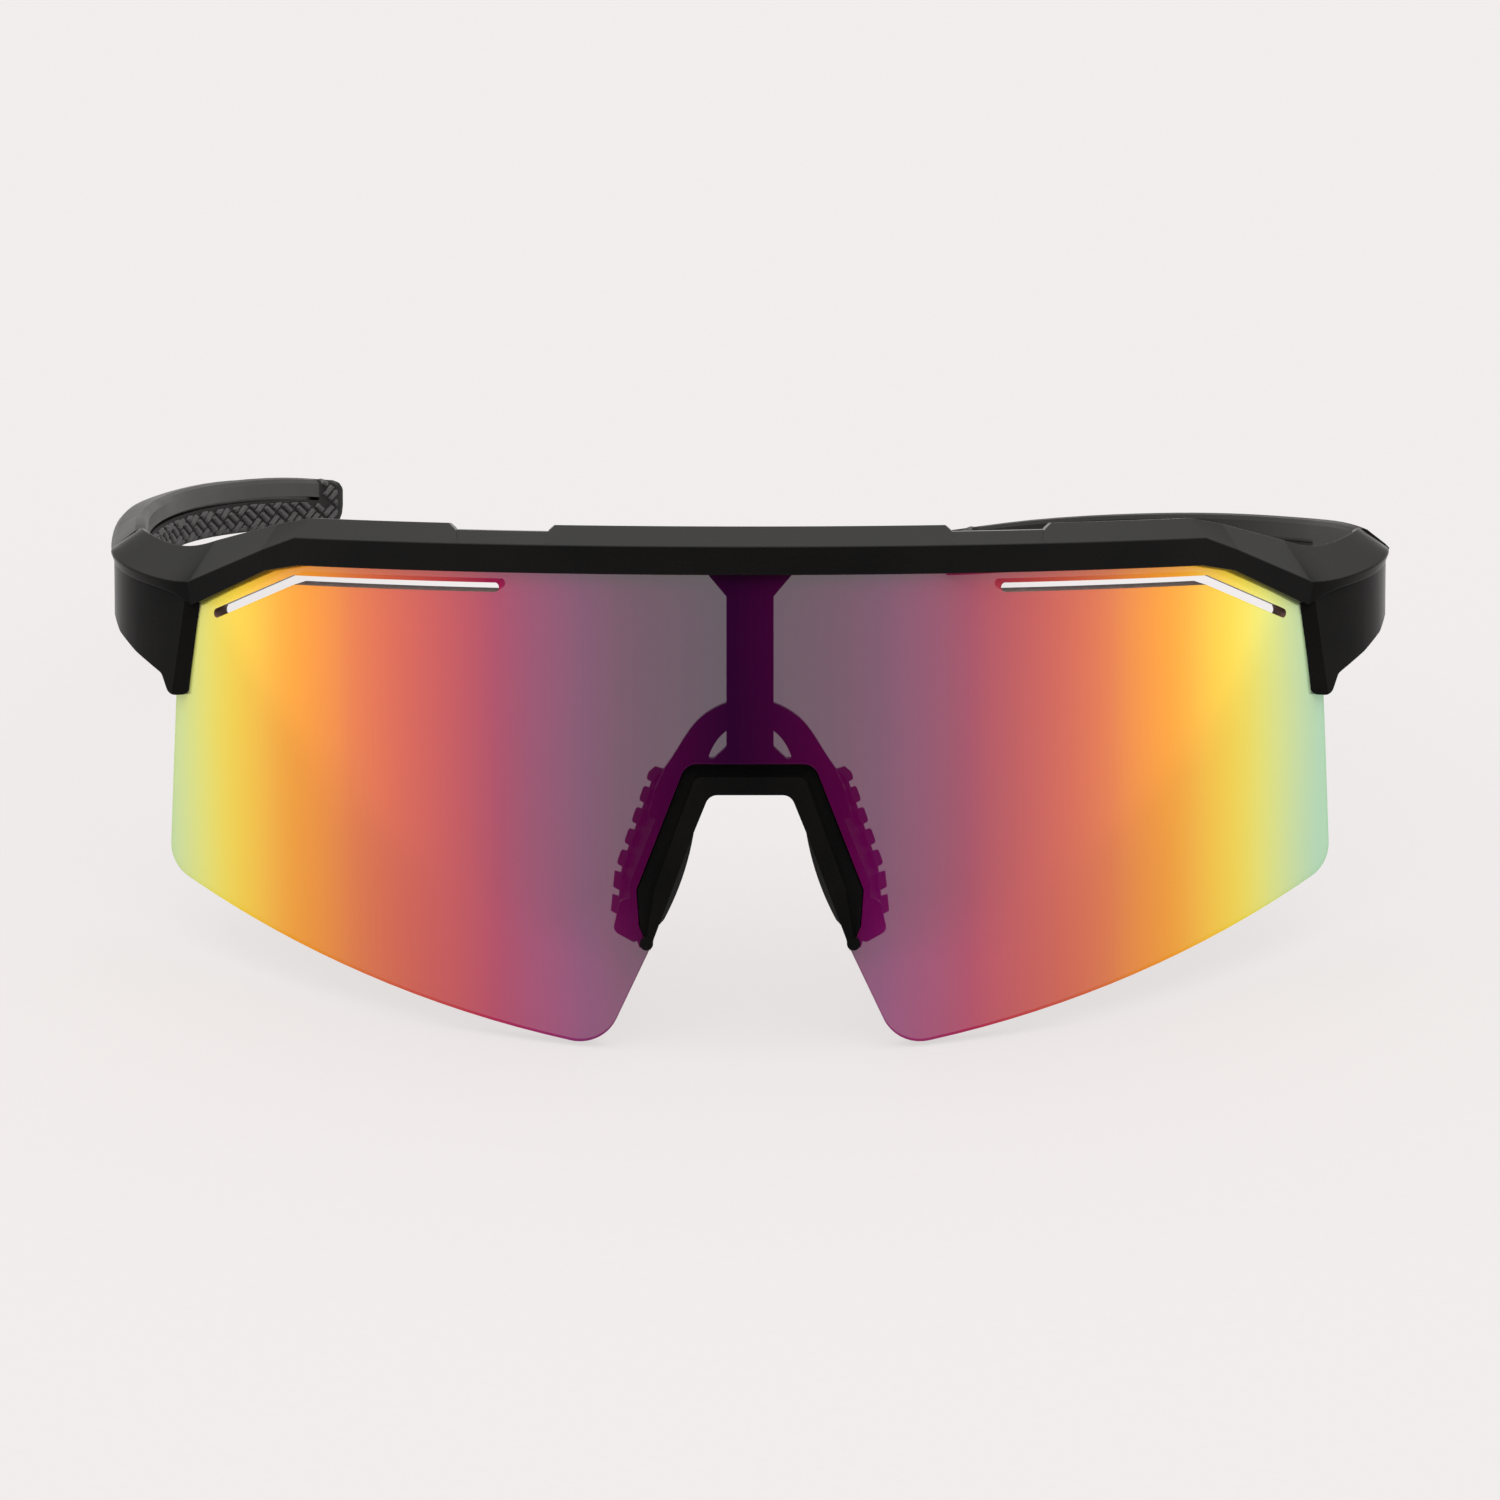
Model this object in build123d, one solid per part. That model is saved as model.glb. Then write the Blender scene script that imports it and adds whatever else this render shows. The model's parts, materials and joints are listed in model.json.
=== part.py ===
from build123d import *
import os
from math import atan2, cos, degrees, hypot, radians, sin, sqrt, tan

# Wraparound sport sunglasses: a one-piece shield lens hangs from a half-rim brow frame, and two
# temples fold on three-barrel steel hinges. All sizes are millimetres.
#
# Working frame, used until the last step: +X to the wearer's left, +Y back towards the ears, +Z up,
# with the origin on the lens's front face in its middle. stand() then tips the glasses back, so that
# they rest on the lens's two lower lobes and a temple tip, as they do on a table.

# ---- driving dimensions ----
LENS_R = 90.0  # horizontal radius of the lens's front face
LENS_RV = 300.0  # vertical radius of the lens's front face
LENS_T = 2.0
LENS_HALF_ANGLE = 52.0  # the shell reaches this far round before it is cut to its outline
LENS_FIT = 0.06  # play between the lens and its groove
BAR_TOP = 24.75
BAR_CREASE = 22.65
BAR_BOTTOM = 19.5
BEND_ANGLE = 34.6  # where the brow bar turns down
ELBOW_ANGLE = 37.7
CORNER_ANGLE = 45.2  # where it meets the end piece
SEAM_Y = 40.0  # plane where frame and temple meet
SEAM_GAP = 0.2
HINGE_X = 70.2
HINGE_Y = 42.0
HINGE_Z = 15.6
HINGE_LEAN = 12.0  # the hinge axes lean together at the top, in degrees
LEFT_FOLD = 16.0  # the left temple stands this far from fully open
EDGE_R = 0.25  # rounding along the frame's long edges
THROUGH = (-8.0, 50.0)  # depths in front of and behind the whole front

BARREL_R = 1.6
SCREW_R = 0.6
TONGUE_HALF = 1.45  # half height of the temple's hinge barrel
WASHER_T = 0.2
EAR_H = 1.9
STACK_GAP = 0.02
TURN_GAP = 0.25  # room round the barrels


# ---- helpers ----
def lens_radius(z, u):
    """Distance from the lens's vertical axis at height z, u in front of the front face."""
    return LENS_R - LENS_RV + sqrt(LENS_RV**2 - z**2) + u


def on_lens(angle, u, z):
    """A point u in front of the lens, at an angle round its vertical axis."""
    r = lens_radius(z, u)
    return Vector(r * sin(radians(angle)), LENS_R - r * cos(radians(angle)), z)


def polygon(points):
    return make_face(Polyline(*points, close=True))


def soft_polygon(points):
    """A polygon with all its corners rounded by EDGE_R."""
    face = polygon(points).face()
    return face.fillet_2d(EDGE_R, face.vertices())


def outline(*curves):
    """The face inside a closed chain of lines and arcs."""
    return make_face(Wire([edge for curve in curves for edge in curve.edges()]))


def rounded(points, radii):
    """A flat XY outline whose corner i is rounded with radii[i]."""
    face = polygon(points)
    for point, radius in zip(points, radii):
        if radius:
            corner = face.vertices().sort_by_distance((point[0], point[1], 0))[0]
            face = fillet(corner, radius)
    return face


def front_prism(face, y_front, y_back):
    """Extrudes an outline drawn in X and Z through the depth from y_front to y_back."""
    plane = Plane(origin=(0, y_back, 0), x_dir=(1, 0, 0), z_dir=(0, -1, 0))
    return extrude(plane * face, y_back - y_front)


def plan_prism(face, z_low, z_high):
    """Extrudes an outline drawn in X and Y between two heights."""
    return extrude(Pos(0, 0, z_low) * face, z_high - z_low)


def both(half):
    """The half and its mirror image across X = 0."""
    return half + mirror(half, Plane.YZ)


def ring(profile, half_angle, face_of=polygon):
    """Revolves (u, z) points round the lens's vertical axis, as far on each side of the middle."""
    points = [(lens_radius(z, u), 0, z) for u, z in profile]
    start = Pos(0, LENS_R, 0) * Rot(0, 0, -90 - half_angle)
    return start * revolve(face_of(points), Axis.Z, 2 * half_angle)


def solid(shape):
    """The one solid of a shape."""
    return shape.solids().sort_by(SortBy.VOLUME)[-1]


# ---- lens ----
LENS_TOP = 22.3
NOTCH = [(0, -1.6), (7.15, -1.6), (12.7, -15.8), (12.4, -19.9), (11.25, -22.6)]
NOTCH_R = 1.8
LOBE_CORNER = (16.5, -33.8)
SIDE_CORNER = (67.35, -16.2)
SLOT_H = 1.05
SLOT_Z = 17.75
SLOT_ANGLES = (18.6, 35.3, 43.0)
SLOT_DROP = 4.3
SLOT_RISE = 9.5  # the vents climb this many degrees towards the back
CUT_DEPTH = 8.0


def lens_outline(grow=0.0):
    """Half of the lens seen from the front, from the middle outwards."""
    side = 65.75 + grow
    top = LENS_TOP + grow
    face = outline(
        Polyline(*NOTCH, LOBE_CORNER),
        ThreePointArc(LOBE_CORNER, (41.8, -27.4), SIDE_CORNER),
        Polyline(SIDE_CORNER, (side, 15.6 + grow), (50.9, top), (0, top), NOTCH[0]),
    )
    for (x, z), radius in ((LOBE_CORNER, 4.7), (SIDE_CORNER, 4.0), (NOTCH[1], NOTCH_R)):
        corner = face.vertices().sort_by_distance((x, z, 0))[0]
        face = fillet(corner, radius)
    return face


def lens_blank(gap):
    """The toric shell that the lens is cut from, thickened by gap on both faces."""
    ends = [[(lens_radius(z, u), 0, z) for z in (-36, -6, 24)] for u in (gap, -LENS_T - gap)]
    outer, inner = ends
    section = outline(
        ThreePointArc(*outer), Line(outer[2], inner[2]), ThreePointArc(*inner), Line(inner[0], outer[0])
    )
    start = Rot(0, 0, -90 - LENS_HALF_ANGLE)
    return Pos(0, LENS_R, 0) * start * revolve(section, Axis.Z, 2 * LENS_HALF_ANGLE)


def radial_plane(angle, z):
    """Plane on the lens whose X runs outwards along the lens, Y up and Z forwards out of the face."""
    a = radians(angle)
    return Plane(origin=on_lens(angle, 0, z), x_dir=(cos(a), sin(a), 0), z_dir=(sin(a), -cos(a), 0))


def vent_slot():
    """Cutter for one vent: a level run, then a run that slopes down outwards."""
    inner, bend, outer = SLOT_ANGLES
    half, climb = SLOT_H / 2, tan(radians(SLOT_RISE))
    profile = [(-CUT_DEPTH, -half), (CUT_DEPTH, -half), (CUT_DEPTH, half), (-CUT_DEPTH, half)]
    section = [(u, SLOT_Z + z - climb * u) for u, z in profile]
    level = ring(section, (bend - inner) / 2)
    level = Pos(0, LENS_R, 0) * Rot(0, 0, (bend + inner) / 2) * Pos(0, -LENS_R, 0) * level
    tip = Rot(SLOT_RISE, 0, 0)
    run = radians(outer - bend) * LENS_R
    length, tilt = hypot(run, SLOT_DROP), degrees(atan2(SLOT_DROP, run))
    middle = radial_plane((bend + outer) / 2, SLOT_Z - SLOT_DROP / 2)
    slope = middle * tip * (Rot(0, 0, -tilt) * Box(length, SLOT_H, 2 * CUT_DEPTH))
    ends = [
        radial_plane(inner, SLOT_Z),
        radial_plane(bend, SLOT_Z),
        radial_plane(outer, SLOT_Z - SLOT_DROP),
    ]
    caps = [plane * tip * Cylinder(half, 2 * CUT_DEPTH) for plane in ends]
    return level + slope + caps[0] + caps[1] + caps[2]


def make_lens():
    blank = lens_blank(0.0) & both(front_prism(lens_outline(), *THROUGH))
    return solid(blank - vent_slot() - mirror(vent_slot(), Plane.YZ))


# ---- brow frame ----
BAR = [(1.2, BAR_BOTTOM), (1.8, BAR_CREASE), (-1.0, BAR_TOP), (-3.4, BAR_TOP - 0.15), (-3.4, 19.2)]
ELBOW = [(1.1, 18.7), (1.7, 21.05), (-1.1, 23.95), (-3.4, 23.8), (-3.4, 18.6)]
CORNER = [(1.0, 14.2), (1.7, 16.9), (-2.4, 21.55), (-3.3, 21.3), (-3.3, 13.9)]
PANEL_ARC = ((66.5, 27.1), (71.6, 32.3), (74.4, 39.2))
PANEL_INSET = 0.4
BEVEL_LOW = 0.15
# sections along that arc: share of its length, heights of the crease, inner top edge and underside
RIM_STEPS = ((0.14, 17.3, 20.9, 14.2), (0.38, 17.95, 21.3, 14.6), (0.72, 19.1, 22.0, 15.4))


def station(point, normal, profile, face_of=polygon):
    """A section of (n, z) points standing at a plan point, n measured along the outward normal."""
    x, y = point
    nx, ny = normal
    return face_of([(x + n * nx, y + n * ny, z) for n, z in profile])


def ring_station(angle, profile):
    return soft_polygon([on_lens(angle, u, z) for u, z in profile])


def rim_stations():
    """Sections of the rim from the front corner, along the end piece's outer curve, to the seam."""
    curve = ThreePointArc(*PANEL_ARC)
    stations = [ring_station(CORNER_ANGLE, CORNER)]
    for t, crease, inner_top, low in RIM_STEPS:
        place, along = curve @ t, curve % t
        profile = [
            (0.0, crease - 1.1),
            (0.4, crease),
            (-3.6, inner_top),
            (-4.2, inner_top - 0.4),
            (-4.2, low),
        ]
        shifted = [(n + PANEL_INSET, z) for n, z in profile]
        stations.append(station((place.X, place.Y), (along.Y, -along.X), shifted, soft_polygon))
    seam = [(0.0, 18.8), (0.4, 19.9), (-3.2, 22.35), (-3.9, 22.0), (-3.9, 16.0)]
    stations.append(station((PANEL_ARC[2][0], SEAM_Y), (1, 0), seam, soft_polygon))
    return stations


def side_panel():
    """The end piece's wall: a curved band in plan, cut to its outline seen from the front."""
    lip_in, lip_out = on_lens(43.5, 0.55, 10), on_lens(46.6, 1.5, 10)
    back_out, back_in = on_lens(51.0, -3.6, 10), on_lens(48.3, -3.3, 10)
    seam_out, seam_in = PANEL_ARC[2][0], PANEL_ARC[2][0] - 4.0
    plan = outline(
        Polyline((back_in.X, back_in.Y), (lip_in.X, lip_in.Y), (lip_out.X, lip_out.Y)),
        ThreePointArc((lip_out.X, lip_out.Y), PANEL_ARC[1], PANEL_ARC[2]),
        Polyline(
            PANEL_ARC[2],
            (seam_out, SEAM_Y),
            (seam_in, SEAM_Y),
            (seam_in - 0.6, 37.6),
            (back_out.X, back_out.Y),
            (back_in.X, back_in.Y),
        ),
    )
    front = rounded(
        [
            (58.0, 16.0),
            (63.3, 14.4),
            (64.8, 3.8),
            (67.1, 3.7),
            (68.0, 6.2),
            (71.3, 8.5),
            (73.5, 10.5),
            (74.9, 13.2),
            (74.9, 19.2),
            (70.3, 18.0),
            (62.0, 16.6),
        ],
        [0, 0, 0.9, 1.1, 1.0, 2.0, 1.5, 0, 0, 0, 0],
    )
    return (plan_prism(plan, 2.0, 20.0) & front_prism(front, 20, 45)) - lug_bevel()


def lug_bevel():
    """Cutter for the flat on the lug beside the lens, which falls to just above the lens's face."""
    upper, lower = on_lens(44.9, BEVEL_LOW, 14.4), on_lens(46.1, BEVEL_LOW, 3.8)
    rise = upper - lower
    flat = Plane(origin=lower, x_dir=(1, 0, 0), z_dir=Vector(1, 0, 0).cross(rise))
    return flat * Box(20, 40, 10, align=(Align.CENTER, Align.CENTER, Align.MIN))


def brow_recess():
    """Cutter for one shallow recess in the bar's top, between two raised pads."""
    slope = [(1.9, BAR_CREASE), (-1.0, BAR_TOP - 0.75), (-4.0, BAR_TOP - 0.85), (-4.0, 27), (3.0, 27)]
    window = rounded(
        [(20.4, 25.9), (22.6, 24.0), (23.0, 22.2), (32.5, 22.2), (32.9, 24.0), (35.1, 25.9)],
        [0, 0.8, 0.4, 0.4, 0.8, 0],
    )
    return ring(slope, BEND_ANGLE) & front_prism(window, -6, 30)


POST_HALF = 2.63
RIM_BACK = 4.6  # depth of the nose rim's rear face
OPENING = [(0, -5.1), (4.55, -5.1), (6.5, -9.9), (11.2, -22.5)]
OPENING_R = 1.35
RIM_MIDDLE = [(0, -3.1), (6.1, -3.1), (10.6, -15.4), (11.5, -20.8)]
RIM_MIDDLE_R = 0.9
FLANGE = [(0, -1.2), (6.6, -1.2), (8.4, -2.7), (13.5, -15.4), (13.2, -20.2), (12.4, -22.6)]
RIM_END = (11.55, -21.75)
RIM_END_R = 0.75


def rim_region(outer, outer_r):
    """Half outline between a chain of (x, z) points from the centre line and the nose opening."""
    corners = [*outer, *reversed(OPENING)]
    radii = [0, outer_r] + [0] * (len(corners) - 4) + [OPENING_R, 0]
    return rounded(corners, radii)


def nose_rim():
    """The arch of the frame round the nose: a stepped front, and a flange behind the lens's edge."""
    notch = [(x - (0.12 if x else 0), z - 0.1) for x, z in NOTCH]
    deep = front_prism(rim_region(notch, NOTCH_R), 1.4, RIM_BACK)
    lip = front_prism(rim_region(RIM_MIDDLE, RIM_MIDDLE_R), 0.4, 3.0)
    behind = lens_blank(0.0)
    flange = front_prism(rim_region(FLANGE, 0), 2.2, RIM_BACK)
    end = front_prism(Pos(*RIM_END) * Circle(RIM_END_R), 0.3, RIM_BACK)
    return both(deep + lip + end + (flange - behind))


def centre_post():
    """The post behind the lens, from the brow bar to the nose rim, flared at both ends."""
    outline = polygon(
        [
            (0, 21.5),
            (6.2, 21.5),
            (4.75, 19.4),
            (POST_HALF, 16.9),
            (POST_HALF, 0.15),
            (4.2, -1.35),
            (4.2, -2.0),
            (0, -2.0),
        ]
    )
    shell = ring([(-2.2, -3), (-2.2, 9), (-2.2, 22), (-4.1, 22), (-4.1, 9), (-4.1, -3)], 6.0)
    return both(front_prism(outline, -2, 9)) & shell


def make_frame(cuts):
    bar = ring(BAR, BEND_ANGLE, soft_polygon)
    recesses = brow_recess()
    bar = bar - recesses - mirror(recesses, Plane.YZ)
    turns = ((BEND_ANGLE, BAR), (ELBOW_ANGLE, ELBOW), (CORNER_ANGLE, CORNER))
    elbow = loft([ring_station(*turn) for turn in turns], ruled=True)
    rim = loft(rim_stations())
    end_piece = elbow + rim + side_panel()
    frame = bar + both(end_piece) + centre_post() + nose_rim()
    groove = lens_blank(LENS_FIT) & both(front_prism(lens_outline(0.12), *THROUGH))
    frame = frame - groove
    for cut in cuts:
        frame = frame - cut
    return solid(frame)


# ---- hinges (drawn on +X, the wearer's left) ----
HINGE = Plane(
    origin=(HINGE_X, HINGE_Y, HINGE_Z),
    x_dir=(0, -1, 0),
    z_dir=(-sin(radians(HINGE_LEAN)), 0, cos(radians(HINGE_LEAN))),
)
EAR_LOW = TONGUE_HALF + WASHER_T + 2 * STACK_GAP
HINGE_AXIS = Axis((HINGE_X, HINGE_Y, HINGE_Z), (-sin(radians(HINGE_LEAN)), 0, cos(radians(HINGE_LEAN))))


def tube(outer, inner, low, high):
    """A round tube on the hinge axis between two heights along it."""
    body = Cylinder(outer, high - low, align=(Align.CENTER, Align.CENTER, Align.MIN))
    if inner:
        body = body - Cylinder(inner, high - low, align=(Align.CENTER, Align.CENTER, Align.MIN))
    return HINGE * (Pos(0, 0, low) * body)


def hinge_box(x0, x1, y0, y1, z0, z1):
    """A box on the hinge plane: x forwards to the lens, y outwards from the axis, z along the axis."""
    centre = Pos((x0 + x1) / 2, (y0 + y1) / 2, (z0 + z1) / 2)
    return HINGE * (centre * Box(x1 - x0, y1 - y0, z1 - z0))


LEAF = (0.1, 1.5)  # how far outboard of the axis the leaves lie
ANCHOR_FRONT = 6.6


def make_front_leaf():
    """Two barrels on webs, joined by an anchor plate that is moulded into the end piece."""
    top, bottom = EAR_LOW + EAR_H, -EAR_LOW - EAR_H
    upper_web = hinge_box(0, ANCHOR_FRONT, *LEAF, EAR_LOW, top)
    lower_web = hinge_box(0, ANCHOR_FRONT, *LEAF, bottom, -EAR_LOW)
    plate = hinge_box(3.0, ANCHOR_FRONT, *LEAF, bottom, top)
    barrels = tube(BARREL_R, 0, EAR_LOW, top) + tube(BARREL_R, 0, bottom, -EAR_LOW)
    bore = tube(SCREW_R, 0, bottom - 1, top + 1)
    seat = tube(1.05, 0, top - 0.5, top + 1)
    return solid(upper_web + lower_web + plate + barrels - bore - seat)


def make_temple_leaf():
    """One barrel on a web with an anchor moulded into the temple."""
    web = hinge_box(-8.5, 0, *LEAF, -TONGUE_HALF, TONGUE_HALF)
    hook = hinge_box(-8.5, -7.0, 1.4, 2.6, -TONGUE_HALF, TONGUE_HALF)
    barrel = tube(BARREL_R, 0, -TONGUE_HALF, TONGUE_HALF)
    return solid(web + hook + barrel - tube(0.95, 0, -5, 5))


def make_screw():
    """Cheese-head screw with a cross recess."""
    top, bottom = EAR_LOW + EAR_H, -EAR_LOW - EAR_H
    body = tube(SCREW_R - 0.01, 0, bottom + 0.2, top - 0.4) + tube(1.02, 0, top - 0.48, top + 0.1)
    slot = hinge_box(-0.8, 0.8, -0.13, 0.13, top - 0.2, top + 0.3)
    cross = hinge_box(-0.13, 0.13, -0.8, 0.8, top - 0.2, top + 0.3)
    return solid(body - slot - cross)


def make_washer(sign):
    low = TONGUE_HALF + STACK_GAP
    span = (low, low + WASHER_T) if sign > 0 else (-low - WASHER_T, -low)
    return tube(BARREL_R - 0.1, SCREW_R, *span)


def make_bushing():
    return tube(0.95, SCREW_R + 0.03, -TONGUE_HALF, TONGUE_HALF)


# ---- temples (drawn on +X, fully open) ----
# y, outer x, outer crease z, inner top z, bottom z, thickness
TEMPLE_STATIONS = (
    (SEAM_Y + SEAM_GAP, 74.8, 20.05, 22.1, 11.3, 4.3),
    (50.0, 75.7, 20.9, 22.9, 13.5, 4.3),
    (63.0, 76.1, 22.3, 23.3, 15.3, 4.0),
    (82.0, 75.1, 23.1, 23.8, 16.8, 3.8),
    (103.0, 71.8, 23.5, 24.0, 17.2, 3.6),
    (125.0, 66.6, 23.2, 23.6, 16.8, 3.4),
    (143.0, 61.9, 22.4, 22.7, 16.2, 3.3),
    (154.5, 58.5, 21.5, 21.8, 15.8, 3.2),
)
TEMPLE_LEAN = 0.18  # the outer face leans in by this share of the thickness below its crease
UNDERCUT = 0.11  # and it steps in by this share just under the crease
# each step past the last station: how far out, top lowered, bottom raised, thinner on each side
TIP_STEPS = ((0, 0, 0, 0), (1.2, 0.25, 0.8, 0.1), (2.1, 0.7, 1.9, 0.3), (2.6, 1.4, 2.9, 0.6))
GRIP_TOP = 2.9  # the grip starts this far under the temple's top edge
GRIP_T = 1.3
GRIP_FRONT = 58.0
GROOVE_H = 0.45
GROOVE_DEPTH = 0.8
SLEEVE_Y = 146.0
SLEEVE_END = 160.0
TONGUE_END = 153.0


def temple_normals():
    """Outward plan normal at each station, square to the line through its neighbours."""
    normals = []
    last = len(TEMPLE_STATIONS) - 1
    for i in range(last + 1):
        before, after = TEMPLE_STATIONS[max(i - 1, 0)], TEMPLE_STATIONS[min(i + 1, last)]
        dx, dy = after[1] - before[1], after[0] - before[0]
        length = hypot(dx, dy)
        normals.append((dy / length, -dx / length))
    normals[0] = (1.0, 0.0)
    return normals


def temple_loft(profile_of):
    """Loft through the stations of a profile that is worked out from each station's sizes."""
    faces = [
        station((x, y), normal, profile_of(*sizes))
        for (y, x, *sizes), normal in zip(TEMPLE_STATIONS, temple_normals())
    ]
    return solid(loft(faces))


def temple_tip():
    """The rounded end, as a loft of shrinking sections from the last station."""
    y, x, crease, top, bottom, thick = TEMPLE_STATIONS[-1]
    nx, ny = temple_normals()[-1]
    faces = []
    for out, drop, lift, thin in TIP_STEPS:
        place = (x - ny * out - nx * thin, y + nx * out - ny * thin)
        profile = full_profile(crease - drop, top - drop, bottom + lift, thick - 2 * thin)
        faces.append(station(place, (nx, ny), profile))
    return solid(loft(faces, ruled=True))


def full_profile(crease, top, bottom, thick):
    lean = TEMPLE_LEAN * thick
    rise = crease - bottom
    return [
        (-lean - 0.1 * thick, bottom + 0.3),
        (-lean, bottom + min(1.1, 0.4 * rise)),
        (-UNDERCUT * thick, crease - 0.3 - 0.1 * rise),
        (0.0, crease - 0.3),
        (-0.5, crease + 0.2),
        (-thick + 1.5, top - 0.15),
        (-thick + 0.95, top),
        (-thick + 0.35, top - 0.2),
        (-thick, top - 0.7),
        (-thick, bottom + 0.7),
        (-thick + 0.6, bottom),
        (-lean - 0.2 * thick, bottom),
    ]


def inner_band(thick, depth, low, high):
    """Corners of a band that reaches some depth into the temple's inner face."""
    outer, inner = -thick + depth, -thick - 1.0
    return [(outer, low), (outer, high), (inner, high), (inner, low)]


def grip_profile(crease, top, bottom, thick):
    return inner_band(thick, GRIP_T, bottom - 1.0, top - GRIP_TOP)


def groove_profile(crease, top, bottom, thick):
    """The fine channel between the arm and the top edge of its grip."""
    return inner_band(thick, GROOVE_DEPTH, top - GRIP_TOP - 0.02, top - GRIP_TOP + GROOVE_H)


def core_profile(crease, top, bottom, thick):
    """The arm's tongue inside the sleeve."""
    outer, inner = -TEMPLE_LEAN * thick - 0.7, -thick + 0.9
    return [(outer, bottom + 1.4), (outer, top - 1.4), (inner, top - 1.4), (inner, bottom + 1.4)]


def span_box(y_front, y_back):
    """A box round the whole temple between two depths."""
    return front_prism(Pos(HINGE_X, HINGE_Z) * Rectangle(80, 40), y_front, y_back)


def make_temple():
    """The hard arm and its rubber grip, which lines the inner face and sleeves the tip."""
    whole = temple_loft(full_profile) + temple_tip()
    lining = temple_loft(grip_profile) & span_box(GRIP_FRONT, SLEEVE_Y + 1)
    groove = temple_loft(groove_profile) & span_box(GRIP_FRONT, SLEEVE_Y)
    core = temple_loft(core_profile) & span_box(SLEEVE_Y - 7, TONGUE_END)
    grip = (whole & (lining + span_box(SLEEVE_Y, SLEEVE_END))) - core
    arm = whole - solid(grip) - groove
    reach = EAR_LOW + EAR_H + 0.5
    barrels = tube(BARREL_R + TURN_GAP, 0, -reach, reach)
    webs = hinge_box(0, 4.0, -3.0, LEAF[1] + TURN_GAP, -reach, reach)
    arm = arm - barrels - webs - make_temple_leaf()
    return solid(arm), solid(grip)


# ---- nose carrier and pads (drawn on +X) ----
PAD_DOWN = Vector(0.33, 0.0, -0.944)
PAD_BACK = Vector(0.55, 0.835, 0.0)
PAD_PLANE = Plane(
    origin=(10.2, 9.1, -12.2),
    x_dir=PAD_BACK - PAD_DOWN * PAD_BACK.dot(PAD_DOWN),
    z_dir=PAD_DOWN.cross(PAD_BACK - PAD_DOWN * PAD_BACK.dot(PAD_DOWN)),
)
ARCH_OUTER = [(0, 5.3), (2.7, 4.8), (5.8, 2.9), (8.0, -0.15), (9.5, -2.4)]
ARCH_INNER = [(0, 2.4), (2.7, 1.65), (4.05, 0.1), (4.8, -1.9)]
CARRIER_BACK = 6.4
PLATE_T = 1.0
PAD_T = 1.9
PAD_CROWN = 26.0  # radius of the pad's bulging face
PAD_RIBS = 7
RIB_PITCH = 2.55
RIB_WIDTH = 1.8
RIB_BACK = 5.2  # where the ribs' rounded tips end, along the pad's X
RIB_TIP_R = 0.45
WRAP_T = 1.05


def pad_outline(front, back, half):
    """Pad seen square on: x runs back, y runs up the nose's side."""
    corners = [
        (front, -half + 1.5),
        (back - 2.6, -half),
        (back, -half + 5.5),
        (back, half - 1.8),
        (back - 1.8, half),
        (front + 2.0, half),
    ]
    return rounded(corners, [0.8, 1.2, 4.0, 1.2, 1.0, 1.2])


def make_carrier():
    """Arch behind the post, with a backing plate on each side."""
    arch = outline(
        Spline(*ARCH_OUTER),
        Polyline(ARCH_OUTER[-1], (10.7, -5.0), (11.4, -8.0), (8.0, -9.0), ARCH_INNER[-1]),
        Spline(*reversed(ARCH_INNER)),
        Line(ARCH_INNER[0], ARCH_OUTER[0]),
    )
    plate = PAD_PLANE * extrude(pad_outline(-4.6, 3.6, 9.2), PLATE_T)
    tab = rounded(
        [(11.4, -16.5), (14.6, -17.5), (15.4, -20.8), (12.9, -22.2), (12.0, -21.2)],
        [0, 0.6, 0.9, 0.5, 0],
    )
    flat = front_prism(arch, RIM_BACK, CARRIER_BACK) + front_prism(tab, RIM_BACK, CARRIER_BACK)
    return solid(both(plate + flat))


def make_pad():
    """Soft pad on the nose side of the plate, with grip ribs that wrap its rear edge."""
    crown = Pos(0, 0, PAD_CROWN - PAD_T) * Rot(0, 90, 0) * Cylinder(PAD_CROWN, 30)
    face = extrude(pad_outline(-4.2, 4.2, 9.0), -PAD_T) & crown
    wrap = extrude(pad_outline(-4.2, 4.7, 9.0), WRAP_T)
    ribs = extrude(pad_outline(-3.4, RIB_BACK + 0.1, 9.3), 1.5)
    ribs = ribs + extrude(pad_outline(-3.4, RIB_BACK - 0.2, 9.3), -1.3)
    for i in range(PAD_RIBS):
        middle = (i - PAD_RIBS / 2 + 0.5) * RIB_PITCH
        strip = Pos(RIB_BACK - 6, middle, -3) * RectangleRounded(12, RIB_WIDTH, RIB_TIP_R)
        wrap = wrap + (ribs & extrude(strip, 6))
    plate = extrude(pad_outline(-4.6, 3.6, 9.2), PLATE_T)
    pocket = extrude(pad_outline(-7.0, 3.6, 9.2), 1.6)
    return solid(PAD_PLANE * (face + wrap - plate - pocket))


# ---- assembly ----
def wearer_right(shape):
    return mirror(shape, Plane.YZ)


def folded(shape):
    """The left temple's parts, turned in about the hinge to where the temple stands."""
    return shape.rotate(HINGE_AXIS, LEFT_FOLD)


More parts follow.
